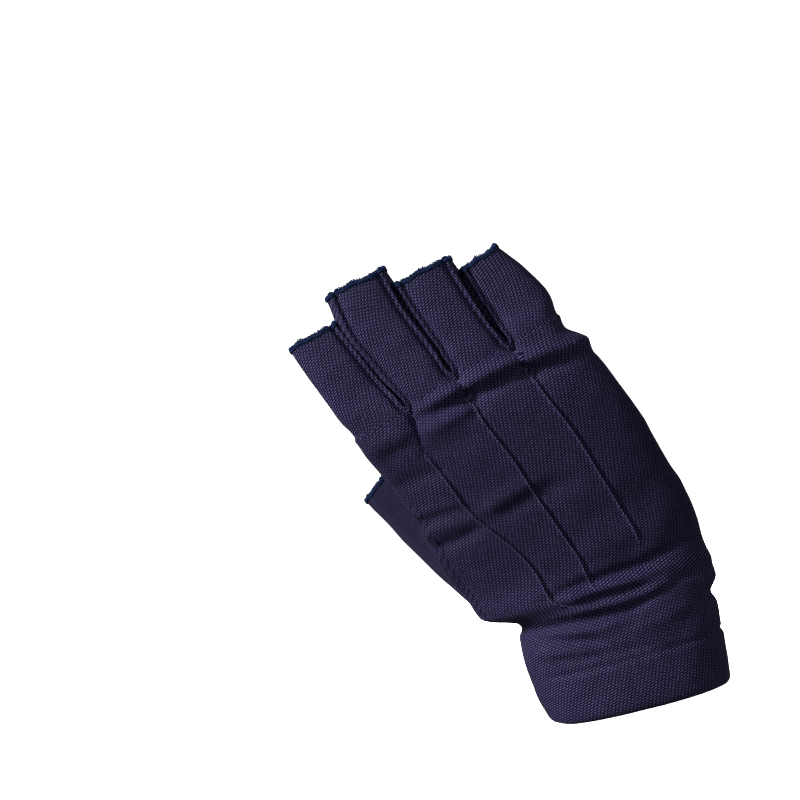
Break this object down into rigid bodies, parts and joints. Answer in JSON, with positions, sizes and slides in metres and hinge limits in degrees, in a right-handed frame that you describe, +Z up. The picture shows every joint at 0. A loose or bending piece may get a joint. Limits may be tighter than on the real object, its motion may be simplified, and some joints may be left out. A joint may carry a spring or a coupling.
{
  "type": "fingerless sun glove",
  "caption": "Right-hand fingerless sun glove in dark navy knitted cloth, shown as worn, with stitched ridges on the back, a plain hemmed cuff and overlocked finger ends.",
  "frame": {"origin": "centre of the cuff opening, where the wrist goes in", "axes": "X toward the little-finger side, Y toward the palm, Z up the hand toward the fingers"},
  "size_m": [0.1295, 0.0592, 0.1762],
  "materials": {
    "knit_cloth": "matte dark navy polyester bird's-eye knit",
    "edge_thread": "slightly brighter navy overlock thread"
  },
  "bodies": {
    "root": {"trank_back": "knit_cloth", "trank_palm": "knit_cloth", "fourchette_1": "knit_cloth", "fourchette_2": "knit_cloth", "fourchette_3": "knit_cloth", "thumb_stall": "knit_cloth", "cuff_hem": "knit_cloth", "index_edge": "edge_thread", "middle_edge": "edge_thread", "ring_edge": "edge_thread", "little_edge": "edge_thread", "thumb_edge": "edge_thread"}
  },
  "joints": []
}
